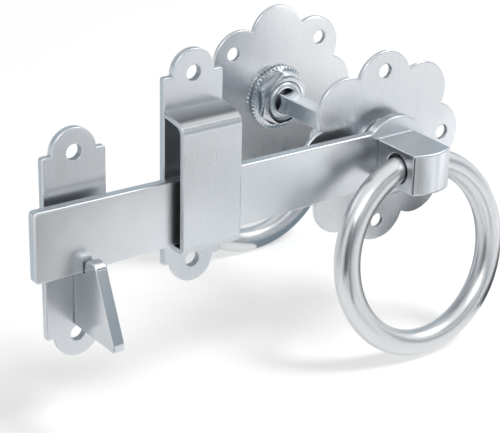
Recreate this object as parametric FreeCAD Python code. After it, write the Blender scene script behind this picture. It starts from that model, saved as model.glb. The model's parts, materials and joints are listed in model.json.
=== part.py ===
"""Ring gate latch, in millimetres.

A bar on the front of a gate turns on a square spindle that passes through it. A ring handle hangs from a
hub at each end of the spindle, and turning either ring lifts the bar out of the hooked catch on the post.
A folded strap on the gate keeps the bar close to it.

The origin is on the spindle's axis at the gate's front face. The bar points along -X to the catch, +Y goes
through the gate from front to back, and +Z is up.
"""

import FreeCAD
import Part
import math
import os

# Gate and screws
GATE_THICKNESS = 68.4
SCREW_HOLE_DIAMETER = 6.0

# Scalloped roses, with a petal on each screw and one between each two
ROSE_SCREWS = 4
ROSE_DIAMETER = 80.0
ROSE_NOTCH_DEPTH = 6.8
ROSE_THICKNESS = 2.0
ROSE_SCREW_INSET = 8.3
ROSE_EDGE = 0.5

# Screw plates of the guide and the catch
PLATE_WIDTH = 25.4
PLATE_THICKNESS = 3.0
PLATE_SHOULDER = 3.7
PLATE_CORNER = 1.0
PLATE_EDGE = 0.5
GUIDE_DISTANCE = 90.3
GUIDE_SCREW_SPACING = 73.0
GUIDE_SCREW_CLIMB = 12.1
CATCH_PAST_GUIDE = 49.3
CATCH_SCREW_SPACING = 70.0
CATCH_SCREW_DROP = 4.0

# Latch bar
BAR_PAST_CATCH = 20.4
BAR_TIP_HEIGHT = 27.0
BAR_ROOT_HEIGHT = 22.5
BAR_THICKNESS = 4.0
BAR_PLATE_GAP = 3.5
BAR_DROP = 0.8
BAR_TIP_CORNER = 1.6
BAR_EDGE = 0.6
EYE_PROUD = 5.25
EYE_BLEND = 4.0
LIFT_ANGLE = 11.0

# Guide strap, folded over the bar
STRAP_THICKNESS = 2.2
STRAP_FRONT_GAP = 3.0
STRAP_FLOOR_GAP = 0.35
STRAP_HEAD_GAP = 0.5
STRAP_ROOF_FALL = 1.5
STRAP_ROOF_INNER_BEND = 2.8
STRAP_FLOOR_INNER_BEND = 0.4

# Catch hook
HOOK_THICKNESS = 4.6
HOOK_OFFSET = 0.7
HOOK_DEPTH = 23.3
HOOK_NOSE_RUN = 11.7
HOOK_NOSE_HEIGHT = 3.0
HOOK_NOSE_ROUND = 0.8
HOOK_HORN_RISE = 6.0
HOOK_HORN_WIDTH = 7.2
HOOK_HORN_FLAT = 0.6
HOOK_FACE_GAP = 0.8
HOOK_SEAT_GAP = 0.3

# Ring handles
RING_DIAMETER = 83.0
RING_WIRE = 10.2
RING_CLEARANCE = 0.3
FRONT_RING_LEAN = 10.0
BACK_RING_LEAN = 0.0

# Hubs
HUB_WIDTH = 18.4
HUB_WALL = 2.3
HUB_SEAT_WALL = 5.9
HUB_NOSE_WALL = 3.6
HUB_BULGE = 2.4
HUB_EDGE = 0.6
HUB_RIM = 0.5

# Spindle, stems and nuts
SPINDLE_SIDE = 8.0
SPINDLE_CORNER = 0.5
SPINDLE_CLEARANCE = 0.15
SOCKET_WALL = 1.5
STEM_WALL = 2.7
STEM_MOUTH_DEPTH = 4.0
STEM_PROUD = 1.0
NECK_STEP = 1.2
NECK_CLEARANCE = 0.1
SPACER_WALL = 4.0
NUT_WALL = 2.4
NUT_HEX_HEIGHT = 4.0
NUT_FLANGE_THICKNESS = 2.5
NUT_FLANGE_LIP = 1.7
NUT_TEETH = 48
NUT_TOOTH_DEPTH = 0.45
NUT_CHAMFER_ANGLE = 30.0
THREAD_CLEARANCE = 0.1
TURNING_GAP = 0.3

# Directions, and the distance under which two places are the same
RIGHT = FreeCAD.Vector(1, 0, 0)
INTO_GATE = FreeCAD.Vector(0, 1, 0)
UP = FreeCAD.Vector(0, 0, 1)
CENTRE = FreeCAD.Vector(0, 0, 0)
SAME_PLACE = 1e-6

# Places and sizes that follow from the driving dimensions
ROSE_PETALS = 2 * ROSE_SCREWS
ROSE_SCREW_RADIUS = ROSE_DIAMETER / 2 - ROSE_SCREW_INSET
PLATE_DOME_RADIUS = PLATE_WIDTH / 2 - PLATE_SHOULDER
CATCH_DISTANCE = GUIDE_DISTANCE + CATCH_PAST_GUIDE
GUIDE_FAR_EDGE = GUIDE_DISTANCE + PLATE_WIDTH / 2
HOOK_FAR_FACE = CATCH_DISTANCE - HOOK_OFFSET + HOOK_THICKNESS / 2

BAR_REACH = CATCH_DISTANCE + BAR_PAST_CATCH
BAR_STANDOFF = PLATE_THICKNESS + BAR_PLATE_GAP
BAR_FACE = BAR_STANDOFF + BAR_THICKNESS
EYE_RADIUS = BAR_ROOT_HEIGHT / 2 + EYE_PROUD
STRAP_DEPTH = BAR_FACE + STRAP_FRONT_GAP

RING_RADIUS = (RING_DIAMETER - RING_WIRE) / 2
RING_SAG = RING_RADIUS - math.sqrt(RING_RADIUS ** 2 - (HUB_WIDTH / 2) ** 2)
RING_DROP = RING_RADIUS - RING_SAG / 2
RING_HOLE_RADIUS = (RING_WIRE + RING_SAG) / 2 + RING_CLEARANCE
HUB_HEIGHT = 2 * (RING_HOLE_RADIUS + HUB_WALL)
HUB_PIVOT = HUB_SEAT_WALL + RING_HOLE_RADIUS
HUB_DEPTH = HUB_PIVOT + RING_HOLE_RADIUS + HUB_NOSE_WALL

SPINDLE_CORNER_RADIUS = math.hypot(SPINDLE_SIDE / 2, SPINDLE_SIDE / 2 - SPINDLE_CORNER)
STEM_BORE_RADIUS = SPINDLE_CORNER_RADIUS + SPINDLE_CLEARANCE
STEM_RADIUS = STEM_BORE_RADIUS + STEM_WALL
SOCKET_END = HUB_SEAT_WALL - SOCKET_WALL
HEX_SIDES = 6
NUT_HEIGHT = NUT_FLANGE_THICKNESS + NUT_HEX_HEIGHT
NUT_FLAT_RADIUS = STEM_RADIUS + THREAD_CLEARANCE + NUT_WALL
NUT_CORNER_RADIUS = NUT_FLAT_RADIUS / math.cos(math.pi / HEX_SIDES)
STEM_PAST_ROSE = TURNING_GAP + NUT_HEIGHT + STEM_PROUD
BACK_SEAT = GATE_THICKNESS + ROSE_THICKNESS + TURNING_GAP


def point(x, y, z):
    """A point of the model."""
    return FreeCAD.Vector(x, y, z)


def polar(radius, angle):
    """A point on the gate's front face, at an angle in radians from +X towards +Z."""
    return point(radius * math.cos(angle), 0, radius * math.sin(angle))


def outline(corners):
    """A closed flat face through straight corners."""
    return Part.Face(Part.makePolygon(corners + corners[:1]))


def rod(radius, start, end):
    """A cylinder on the spindle's axis, from one depth to another."""
    return Part.makeCylinder(radius, end - start, point(0, start, 0), INTO_GATE)


def moved(shape, x, y, z):
    """A copy of a shape, moved."""
    copy = shape.copy()
    copy.translate(point(x, y, z))
    return copy


def turned_round(shape):
    """A copy of a shape, turned half round the vertical, so that its back faces the front."""
    copy = shape.copy()
    copy.rotate(CENTRE, UP, 180)
    return copy


def same(first, second):
    """Whether two lengths are the same."""
    return abs(first - second) < SAME_PLACE


def edges_along(shape, direction):
    """The straight edges of a shape that run along a direction."""
    straight = [edge for edge in shape.Edges if isinstance(edge.Curve, Part.Line)]
    return [edge for edge in straight if same(edge.Curve.Direction.cross(direction).Length, 0)]


def rim_of(shape, depth):
    """The edges of a shape that lie flat at one depth."""
    return [edge for edge in shape.Edges
            if same(edge.BoundBox.YMin, depth) and same(edge.BoundBox.YMax, depth)]


def bar_edge_height(distance):
    """Heights of the bar's lower and upper edges, at a distance from the spindle."""
    height = BAR_ROOT_HEIGHT + (BAR_TIP_HEIGHT - BAR_ROOT_HEIGHT) * distance / BAR_REACH
    return -BAR_DROP - height / 2, -BAR_DROP + height / 2


def strap_floor():
    """Height of the strap's inner floor, just under the bar."""
    return bar_edge_height(GUIDE_FAR_EDGE)[0] - STRAP_FLOOR_GAP


def strap_roof():
    """Height of the strap's inner roof at the plate, with room under it for the lifted bar."""
    lift = math.radians(LIFT_ANGLE)
    level_top = bar_edge_height(GUIDE_FAR_EDGE)[1]
    distance = (GUIDE_FAR_EDGE + level_top * math.sin(lift)) / math.cos(lift)
    lifted_top = distance * math.sin(lift) + bar_edge_height(distance)[1] * math.cos(lift)
    fall_to_bar = STRAP_ROOF_FALL * (BAR_FACE - PLATE_THICKNESS) / (STRAP_DEPTH - PLATE_THICKNESS)
    return lifted_top + STRAP_HEAD_GAP + fall_to_bar


def guide_middle():
    """Height of the middle of the guide plate, whose upper screw stands clear of the strap."""
    return strap_roof() + STRAP_THICKNESS + GUIDE_SCREW_CLIMB - GUIDE_SCREW_SPACING / 2


def hook_seat():
    """Height of the floor of the hook's notch, just under the bar."""
    return bar_edge_height(HOOK_FAR_FACE)[0] - HOOK_SEAT_GAP


def catch_middle():
    """Height of the middle of the catch plate, whose lower screw stands clear of the hook."""
    return hook_seat() - HOOK_DEPTH - CATCH_SCREW_DROP + CATCH_SCREW_SPACING / 2


def petal_face():
    """The rose's outline: arcs that run from notch to notch over each petal's tip."""
    tip = ROSE_DIAMETER / 2
    notch = tip - ROSE_NOTCH_DEPTH
    half_step = math.pi / ROSE_PETALS
    arcs = []
    for petal in range(ROSE_PETALS):
        middle = 2 * half_step * petal
        arc = Part.Arc(polar(notch, middle - half_step), polar(tip, middle), polar(notch, middle + half_step))
        arcs.append(arc.toShape())
    return Part.Face(Part.Wire(arcs))


def rose(first_screw):
    """A scalloped rose that faces +Y from depth zero, with its screws from an angle in radians."""
    plate = petal_face().extrude(INTO_GATE * ROSE_THICKNESS)
    plate = plate.makeChamfer(ROSE_EDGE, rim_of(plate, ROSE_THICKNESS))
    plate = plate.cut(rod(STEM_RADIUS + TURNING_GAP, 0, ROSE_THICKNESS))
    screw_hole = rod(SCREW_HOLE_DIAMETER / 2, 0, ROSE_THICKNESS)
    for screw in range(ROSE_SCREWS):
        place = polar(ROSE_SCREW_RADIUS, first_screw + screw * 2 * math.pi / ROSE_SCREWS)
        plate = plate.cut(moved(screw_hole, place.x, 0, place.z))
    return plate


def screw_plate(distance, middle, spacing):
    """A plate with square shoulders and a domed screw lug at each end, on the gate's front face."""
    half_width = PLATE_WIDTH / 2
    ends = (-spacing / 2, spacing / 2)
    body = Part.makeBox(PLATE_WIDTH, PLATE_THICKNESS, spacing, point(-half_width, -PLATE_THICKNESS, ends[0]))
    plate = body.makeFillet(PLATE_CORNER, edges_along(body, INTO_GATE))
    for end in ends:
        plate = plate.fuse(moved(rod(PLATE_DOME_RADIUS, -PLATE_THICKNESS, 0), 0, 0, end))
    plate = plate.removeSplitter()
    plate = plate.makeChamfer(PLATE_EDGE, rim_of(plate, -PLATE_THICKNESS))
    for end in ends:
        plate = plate.cut(moved(rod(SCREW_HOLE_DIAMETER / 2, -PLATE_THICKNESS, 0), 0, 0, end))
    return moved(plate, -distance, 0, middle)


def folded_block(wall):
    """What the strap wraps, as wide as its plate, grown outwards by a wall: a roof, a front and a floor."""
    left = -GUIDE_FAR_EDGE
    depth = STRAP_DEPTH + wall
    floor = strap_floor() - wall
    roof = strap_roof() + wall
    roof_front = roof - STRAP_ROOF_FALL * (depth - PLATE_THICKNESS) / (STRAP_DEPTH - PLATE_THICKNESS)
    side = outline([point(left, -PLATE_THICKNESS, floor), point(left, -PLATE_THICKNESS, roof),
                    point(left, -depth, roof_front), point(left, -depth, floor)])
    block = side.extrude(RIGHT * PLATE_WIDTH)
    bends = ((STRAP_ROOF_INNER_BEND, roof_front), (STRAP_FLOOR_INNER_BEND, floor))
    for inner_bend, height in bends:
        fold = [edge for edge in edges_along(block, RIGHT)
                if same(edge.CenterOfMass.z, height) and same(edge.CenterOfMass.y, -depth)]
        block = block.makeFillet(inner_bend + wall, fold)
    return block


def guide_strap():
    """The strap, folded from one strip over the bar and welded to its plate."""
    return folded_block(STRAP_THICKNESS).cut(folded_block(0.0))


def catch_hook():
    """The catch's upright fin: a notch that the bar drops into, and a sloped nose that lifts it."""
    left = -HOOK_FAR_FACE
    seat = hook_seat()
    bottom = seat - HOOK_DEPTH
    horn_top = seat + HOOK_HORN_RISE
    horn_back = BAR_FACE + HOOK_FACE_GAP
    horn_front = horn_back + HOOK_HORN_WIDTH
    nose_front = horn_front + HOOK_NOSE_RUN

    profile = outline([point(left, -PLATE_THICKNESS, bottom),
                       point(left, -nose_front, bottom),
                       point(left, -nose_front, bottom + HOOK_NOSE_HEIGHT),
                       point(left, -horn_front, horn_top),
                       point(left, -horn_back, horn_top),
                       point(left, -horn_back, seat),
                       point(left, -PLATE_THICKNESS, seat)])
    fin = profile.extrude(RIGHT * HOOK_THICKNESS)
    horn = [edge for edge in edges_along(fin, RIGHT) if same(edge.CenterOfMass.z, horn_top)]
    fin = fin.makeFillet((HOOK_HORN_WIDTH - HOOK_HORN_FLAT) / 2, horn)
    nose = [edge for edge in edges_along(fin, RIGHT) if same(edge.CenterOfMass.y, -nose_front)]
    return fin.makeFillet(HOOK_NOSE_ROUND, nose)


def square_bar(side, corner, start, end):
    """A square bar with its long corners cut off, on the spindle's axis."""
    half = side / 2
    bar = Part.makeBox(side, end - start, side, point(-half, start, -half))
    return bar.makeChamfer(corner, edges_along(bar, INTO_GATE))


def neck(clearance, start, end):
    """The neck that drives the bar: a stem with four flats."""
    half = STEM_RADIUS - NECK_STEP + clearance
    flats = Part.makeBox(2 * half, end - start, 2 * half, point(-half, start, -half))
    return rod(STEM_RADIUS + clearance, start, end).common(flats)


def latch_bar():
    """The flat bar, wider at its tip, with a round eye on the hub's neck."""
    tip_low, tip_high = bar_edge_height(BAR_REACH)
    root_low, root_high = bar_edge_height(0)
    strip = outline([point(-BAR_REACH, -BAR_FACE, tip_low), point(0, -BAR_FACE, root_low),
                     point(0, -BAR_FACE, root_high), point(-BAR_REACH, -BAR_FACE, tip_high)])
    bar = strip.extrude(INTO_GATE * BAR_THICKNESS)
    tip = [edge for edge in edges_along(bar, INTO_GATE) if same(edge.CenterOfMass.x, -BAR_REACH)]
    bar = bar.makeFillet(BAR_TIP_CORNER, tip)
    eye = moved(rod(EYE_RADIUS, -BAR_FACE, -BAR_STANDOFF), 0, 0, -BAR_DROP)
    bar = bar.fuse(eye).removeSplitter()
    shoulders = [edge for edge in edges_along(bar, INTO_GATE)
                 if same(math.hypot(edge.CenterOfMass.x, edge.CenterOfMass.z + BAR_DROP), EYE_RADIUS)]
    bar = bar.makeFillet(EYE_BLEND, shoulders)
    bar = bar.makeChamfer(BAR_EDGE, rim_of(bar, -BAR_FACE))
    return bar.cut(neck(NECK_CLEARANCE, -BAR_FACE, -BAR_STANDOFF))


def bar_spacer():
    """The turned ring that holds the bar off the front rose."""
    start = -BAR_STANDOFF
    end = -ROSE_THICKNESS - TURNING_GAP
    ring = rod(STEM_RADIUS + SPACER_WALL, start, end)
    return ring.cut(rod(STEM_RADIUS + THREAD_CLEARANCE, start, end))


def hub_block():
    """The hub's block on its seat at depth zero, with a bowed nose and a cross hole for the ring."""
    half_width = HUB_WIDTH / 2
    low = -HUB_HEIGHT / 2
    seat_left = point(-half_width, 0, low)
    seat_right = point(half_width, 0, low)
    front_left = point(-half_width, HUB_DEPTH, low)
    front_right = point(half_width, HUB_DEPTH, low)
    plan = [Part.LineSegment(front_left, seat_left), Part.LineSegment(seat_left, seat_right),
            Part.LineSegment(seat_right, front_right),
            Part.Arc(front_right, point(0, HUB_DEPTH + HUB_BULGE, low), front_left)]
    block = Part.Face(Part.Wire([line.toShape() for line in plan])).extrude(UP * HUB_HEIGHT)
    block = block.makeFillet(HUB_EDGE, [edge for edge in block.Edges if edge.CenterOfMass.y > SAME_PLACE])
    block = block.cut(Part.makeCylinder(RING_HOLE_RADIUS, HUB_WIDTH, point(-half_width, HUB_PIVOT, 0), RIGHT))
    for side, inwards in ((-half_width, RIGHT), (half_width, -RIGHT)):
        rim = Part.makeCone(RING_HOLE_RADIUS + HUB_RIM, RING_HOLE_RADIUS, HUB_RIM,
                            point(side, HUB_PIVOT, 0), inwards)
        block = block.cut(rim)
    return block


def hub(seat_to_rose, neck_length):
    """A hub that faces +Y, with its seat at depth zero and its stem behind it.

    The stem takes the nut outside, and its round mouth leads to a square socket for the spindle.
    seat_to_rose is the depth from the seat to the rose's gate side, and the first neck_length of the stem
    has flats that drive the bar.
    """
    mouth = -(seat_to_rose + STEM_PAST_ROSE)
    stem = rod(STEM_RADIUS, mouth, -neck_length)
    if neck_length > 0:
        stem = stem.fuse(neck(0.0, -neck_length, 0))
    body = hub_block().fuse(stem).removeSplitter()
    body = body.cut(square_bar(SPINDLE_SIDE + 2 * SPINDLE_CLEARANCE, SPINDLE_CORNER, mouth, SOCKET_END))
    return body.cut(rod(STEM_BORE_RADIUS, mouth, mouth + STEM_MOUTH_DEPTH))


def flange_nut():
    """A hexagon nut with a toothed flange, with the flange's face at depth zero."""
    crest = NUT_CORNER_RADIUS + NUT_FLANGE_LIP
    half_tooth = math.pi / NUT_TEETH
    teeth = []
    for tooth in range(NUT_TEETH):
        teeth.append(polar(crest, 2 * half_tooth * tooth))
        teeth.append(polar(crest - NUT_TOOTH_DEPTH, 2 * half_tooth * tooth + half_tooth))
    flange = outline(teeth).extrude(INTO_GATE * NUT_FLANGE_THICKNESS)

    corners = [polar(NUT_CORNER_RADIUS, 2 * math.pi * side / HEX_SIDES) for side in range(HEX_SIDES)]
    hexagon = outline(corners).extrude(INTO_GATE * NUT_HEIGHT)
    base_radius = NUT_FLAT_RADIUS + NUT_HEIGHT / math.tan(math.radians(NUT_CHAMFER_ANGLE))
    chamfer = Part.makeCone(base_radius, NUT_FLAT_RADIUS, NUT_HEIGHT, CENTRE, INTO_GATE)
    nut = flange.fuse(hexagon.common(chamfer)).removeSplitter()
    return nut.cut(rod(STEM_RADIUS + THREAD_CLEARANCE, 0, NUT_HEIGHT))


def spindle():
    """The square spindle, from the front hub's socket to the back hub's."""
    start = -BAR_FACE - SOCKET_END + SPINDLE_CLEARANCE
    end = BACK_SEAT + SOCKET_END - SPINDLE_CLEARANCE
    return square_bar(SPINDLE_SIDE, SPINDLE_CORNER, start, end)


def ring_handle(pivot, lean):
    """A ring that hangs through a hub's cross hole, leaning from the vertical towards +Y, in degrees."""
    ring = Part.makeTorus(RING_RADIUS, RING_WIRE / 2, point(0, pivot, -RING_DROP), INTO_GATE)
    ring.rotate(point(0, pivot, 0), RIGHT, lean)
    return ring


def build():
    """All the pieces by name."""
    front_hub = hub(BAR_FACE, BAR_THICKNESS)
    back_hub = hub(ROSE_THICKNESS + TURNING_GAP, 0)
    return {
        "front_rose": turned_round(rose(0)),
        "back_rose": moved(rose(math.pi / ROSE_SCREWS), 0, GATE_THICKNESS, 0),
        "guide_plate": screw_plate(GUIDE_DISTANCE, guide_middle(), GUIDE_SCREW_SPACING),
        "guide_strap": guide_strap(),
        "catch_plate": screw_plate(CATCH_DISTANCE, catch_middle(), CATCH_SCREW_SPACING),
        "catch_hook": catch_hook(),
        "latch_bar": latch_bar(),
        "bar_spacer": bar_spacer(),
        "front_hub": moved(turned_round(front_hub), 0, -BAR_FACE, 0),
        "front_nut": moved(flange_nut(), 0, TURNING_GAP, 0),
        "spindle": spindle(),
        "back_hub": moved(back_hub, 0, BACK_SEAT, 0),
        "back_nut": moved(turned_round(flange_nut()), 0, GATE_THICKNESS - TURNING_GAP, 0),
        "front_ring": ring_handle(-BAR_FACE - HUB_PIVOT, -FRONT_RING_LEAN),
        "back_ring": ring_handle(BACK_SEAT + HUB_PIVOT, BACK_RING_LEAN),
    }


def main():
    """Writes one file for each piece."""
    os.makedirs("parts", exist_ok=True)
    for name, shape in build().items():
        shape.exportStep("parts/" + name + ".step")
        box = shape.BoundBox
        print(name, "valid" if shape.isValid() else "NOT VALID", len(shape.Solids), "solid",
              round(shape.Volume, 1), "mm3", "x", round(box.XMin, 2), round(box.XMax, 2),
              "y", round(box.YMin, 2), round(box.YMax, 2), "z", round(box.ZMin, 2), round(box.ZMax, 2))


main()
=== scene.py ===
"""Dressed ring gate latch: zinc-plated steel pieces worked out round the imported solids, in metres."""

import json
import logging
from abc import ABC, abstractmethod
from dataclasses import dataclass
from enum import Enum

import bmesh
import bpy
import numpy as np
from mathutils import Matrix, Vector
from mathutils.geometry import tessellate_polygon


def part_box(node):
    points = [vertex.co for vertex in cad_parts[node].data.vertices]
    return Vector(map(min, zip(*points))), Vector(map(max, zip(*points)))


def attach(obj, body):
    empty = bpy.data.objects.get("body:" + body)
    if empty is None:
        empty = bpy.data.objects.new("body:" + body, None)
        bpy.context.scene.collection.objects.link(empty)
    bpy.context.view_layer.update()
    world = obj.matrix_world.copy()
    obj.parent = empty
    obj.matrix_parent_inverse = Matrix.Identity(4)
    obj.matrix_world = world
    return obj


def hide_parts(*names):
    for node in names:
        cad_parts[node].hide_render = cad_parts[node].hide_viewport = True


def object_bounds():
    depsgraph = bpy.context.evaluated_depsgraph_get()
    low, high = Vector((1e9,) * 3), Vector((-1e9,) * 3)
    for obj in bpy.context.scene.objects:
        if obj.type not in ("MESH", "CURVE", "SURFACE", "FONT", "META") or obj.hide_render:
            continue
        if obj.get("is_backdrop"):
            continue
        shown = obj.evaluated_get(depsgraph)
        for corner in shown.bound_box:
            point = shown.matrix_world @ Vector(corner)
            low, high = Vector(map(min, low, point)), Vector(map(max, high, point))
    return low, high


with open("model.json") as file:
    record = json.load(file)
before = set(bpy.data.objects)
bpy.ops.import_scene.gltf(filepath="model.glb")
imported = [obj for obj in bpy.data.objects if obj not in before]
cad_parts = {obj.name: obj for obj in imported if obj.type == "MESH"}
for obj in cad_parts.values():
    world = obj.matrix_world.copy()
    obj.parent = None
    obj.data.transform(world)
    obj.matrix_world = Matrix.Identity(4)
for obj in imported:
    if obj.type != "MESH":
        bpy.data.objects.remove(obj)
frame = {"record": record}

LOG = logging.getLogger("gate_latch")
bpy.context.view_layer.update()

MERGE_DISTANCE = 2e-6
CUT_MARGIN = 1e-5
SHARP_ANGLE = np.radians(38.0)
QUARTER_STEPS = 6
BEND_STEPS = 10
HOLE_STEPS = 48
ROUND_STEPS = 96
# Mark for points whose colour is darkened as painted shade: inside the strap's fold and on the hole walls.
PAINTED_SHADE_MARK = "painted_shade"
CUT = "cut"
BACK_HUB_GAP = 0.0003
IMAGE_WIDTH = 500


class Facing(Enum):
    """The way that a flat piece faces: the two axes of its outline, then the axis of its thickness."""

    FRONT = (0, 2, 1)
    SIDE = (1, 2, 0)


class Grain(Enum):
    """The axis that a piece was brushed along."""

    LEVEL = 0
    THROUGH = 1
    UPRIGHT = 2


def arc(centre: tuple[float, float], radius: float, start: float, end: float, steps: int) -> np.ndarray:
    """Points on a circle: the centre plus the radius at evenly spaced angles.

    Args:
        centre: the circle's centre in the outline's plane.
        radius: the circle's radius.
        start: the first angle in degrees.
        end: the last angle in degrees.
        steps: the number of points.

    Returns:
        The points, one row each.
    """
    angles = np.radians(np.linspace(start, end, steps))
    return np.asarray(centre) + radius * np.column_stack([np.cos(angles), np.sin(angles)])


def circle(centre: tuple[float, float], radius: float, steps: int = HOLE_STEPS) -> np.ndarray:
    """A closed circle of points, with the first point not repeated."""
    return arc(centre, radius, 0.0, 360.0, steps + 1)[:-1]


def turned_square(radius: float, flat: float, steps: int = ROUND_STEPS) -> np.ndarray:
    """A circle cut by four flats: at each angle the nearer of the circle and the flat.

    Args:
        radius: the circle's radius.
        flat: the distance from the axis to each flat.
        steps: the number of points.

    Returns:
        The closed loop of points.
    """
    angles = np.linspace(0.0, 2.0 * np.pi, steps, endpoint=False)
    reach = np.minimum(radius, flat / np.maximum(np.abs(np.cos(angles)), np.abs(np.sin(angles))))
    return reach[:, None] * np.column_stack([np.cos(angles), np.sin(angles)])


def rounded_polygon(corners: np.ndarray, radii: np.ndarray, steps: int = QUARTER_STEPS + 1) -> np.ndarray:
    """Rounds each corner of a closed polygon with an arc that touches both of its sides.

    With h as half of a corner's angle, the arc's centre lies radius / sin h along the corner's bisector, and
    the arc runs between the two touching points, which lie radius / tan h along the sides.

    Args:
        corners: the polygon's corners, one row each.
        radii: the radius at each corner, all above zero.
        steps: the number of points on each arc.

    Returns:
        The closed loop of points.
    """
    before = np.roll(corners, 1, axis=0) - corners
    after = np.roll(corners, -1, axis=0) - corners
    before = before / np.linalg.norm(before, axis=1, keepdims=True)
    after = after / np.linalg.norm(after, axis=1, keepdims=True)
    half = np.arccos(np.clip(np.sum(before * after, axis=1), -1.0, 1.0)) / 2.0
    bisector = (before + after) / np.linalg.norm(before + after, axis=1, keepdims=True)
    centres = corners + bisector * (radii / np.sin(half))[:, None]
    first = corners + before * (radii / np.tan(half))[:, None] - centres
    last = corners + after * (radii / np.tan(half))[:, None] - centres
    sweep = (np.pi - 2.0 * half)[:, None, None]
    share = np.linspace(0.0, 1.0, steps)[None, :, None]
    points = np.sin((1.0 - share) * sweep) * first[:, None] + np.sin(share * sweep) * last[:, None]
    return (centres[:, None] + points / np.sin(sweep)).reshape(-1, 2)


def wound(loop: np.ndarray, hole: bool = False) -> np.ndarray:
    """Turns a loop so that metal is on its left: anticlockwise for an outline, clockwise for a hole."""
    following = np.roll(loop, -1, axis=0)
    area = np.sum(loop[:, 0] * following[:, 1] - following[:, 0] * loop[:, 1])
    return loop[::-1] if (area < 0.0) != hole else loop


def inward(loop: np.ndarray) -> np.ndarray:
    """The step that moves each point of a loop one unit into the metal, mitred at the corners.

    With m and n as the left normals of the two sides that meet at a point, the step is (m + n) / (1 + m.n).

    Args:
        loop: a closed loop with metal on its left.

    Returns:
        One step for each point.
    """
    along = np.roll(loop, -1, axis=0) - loop
    along = along / np.linalg.norm(along, axis=1, keepdims=True)
    normal = np.column_stack([-along[:, 1], along[:, 0]])
    previous = np.roll(normal, 1, axis=0)
    return (normal + previous) / (1.0 + np.sum(normal * previous, axis=1, keepdims=True))


def edge_profile(thickness: float, first: float, last: float) -> np.ndarray:
    """The section of a plate's edge: a quarter round, the straight wall, then a quarter round.

    Args:
        thickness: the plate's thickness.
        first: the radius at the first face.
        last: the radius at the second face.

    Returns:
        Pairs of inset into the metal and distance from the first face.
    """
    angle = np.linspace(0.0, np.pi / 2.0, QUARTER_STEPS)
    start = first * np.column_stack([1.0 - np.sin(angle), 1.0 - np.cos(angle)])
    end = last * np.column_stack([1.0 - np.cos(angle), np.sin(angle) - 1.0]) + (0.0, thickness)
    return np.vstack([start, end])


class Skin:
    """A piece's surface in the making, as arrays of points and of the faces that join them."""

    def __init__(self) -> None:
        """Starts with no points and no faces."""
        self.points: list[np.ndarray] = []
        self.faces: list[list[int]] = []
        self.count = 0

    def add(self, points: np.ndarray, faces: np.ndarray) -> None:
        """Takes in points and the faces that number them from zero."""
        self.points.append(points)
        self.faces.extend((faces + self.count).tolist())
        self.count += len(points)

    def grid(self, points: np.ndarray, close_rows: bool = False, close_columns: bool = False) -> None:
        """Joins a grid of points in four-sided faces.

        Args:
            points: the grid, as rows by columns by three.
            close_rows: whether the last row joins the first.
            close_columns: whether the last column joins the first.
        """
        rows, columns = points.shape[:2]
        index = np.arange(rows * columns).reshape(rows, columns)
        if close_rows:
            index = np.vstack([index, index[:1]])
        if close_columns:
            index = np.hstack([index, index[:, :1]])
        quads = np.stack([index[:-1, :-1], index[1:, :-1], index[1:, 1:], index[:-1, 1:]], axis=-1)
        self.add(points.reshape(-1, 3), quads.reshape(-1, 4))

    def cap(self, loops: list[np.ndarray]) -> None:
        """Fills a flat region that lies inside the first loop and outside the others."""
        triangles = tessellate_polygon([loop.tolist() for loop in loops])
        self.add(np.vstack(loops), np.array(triangles))

    def piece(self, name: str) -> bpy.types.Object:
        """Makes the mesh: doubles merged, faces outwards, flats kept flat beside the rounded edges.

        Args:
            name: the piece's name.

        Returns:
            The piece's object, at the origin.
        """
        mesh = bpy.data.meshes.new(name)
        mesh.from_pydata(np.vstack(self.points).tolist(), [], self.faces)
        shell = bmesh.new()
        shell.from_mesh(mesh)
        bmesh.ops.remove_doubles(shell, verts=shell.verts, dist=MERGE_DISTANCE)
        bmesh.ops.recalc_face_normals(shell, faces=shell.faces)
        shell.to_mesh(mesh)
        shell.free()
        mesh.shade_smooth()
        mesh.set_sharp_from_angle(angle=SHARP_ANGLE)
        made = bpy.data.objects.new(name, mesh)
        bpy.context.scene.collection.objects.link(made)
        weighted = made.modifiers.new("flat faces", "WEIGHTED_NORMAL")
        weighted.keep_sharp = True
        return made


def laid(loops: np.ndarray, depth: np.ndarray, facing: Facing) -> np.ndarray:
    """Sets rows of outline points at their depths along the thickness axis.

    Args:
        loops: rows by points by two.
        depth: the depth of each row, or of each point.
        facing: the way that the piece faces.

    Returns:
        Rows by points by three.
    """
    across, up, through = facing.value
    points = np.empty(loops.shape[:2] + (3,))
    points[..., across] = loops[..., 0]
    points[..., up] = loops[..., 1]
    points[..., through] = depth if depth.ndim == 2 else depth[:, None]
    return points


def flat_skin(outline: np.ndarray, holes: list[np.ndarray], span: tuple[float, float], facing: Facing,
              edges: tuple[float, float], hole_edges: tuple[float, float]) -> Skin:
    """A plate with rounded edges: each loop is moved into the metal along the edge's section.

    Args:
        outline: the plate's outer loop.
        holes: the loops of its holes.
        span: where it starts and ends along its thickness.
        facing: the way that it faces.
        edges: the outline's edge radius at the start and at the end.
        hole_edges: the holes' edge radius at the start and at the end.

    Returns:
        The closed skin.
    """
    skin = Skin()
    starts: list[np.ndarray] = []
    ends: list[np.ndarray] = []
    thickness = span[1] - span[0]
    for loop, radii in [(wound(outline), edges)] + [(wound(hole, True), hole_edges) for hole in holes]:
        section = edge_profile(thickness, *radii)
        rows = laid(loop + section[:, :1, None] * inward(loop), span[0] + section[:, 1], facing)
        skin.grid(rows, close_columns=True)
        starts.append(rows[0])
        ends.append(rows[-1])
    skin.cap(starts)
    skin.cap(ends)
    return skin


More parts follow.
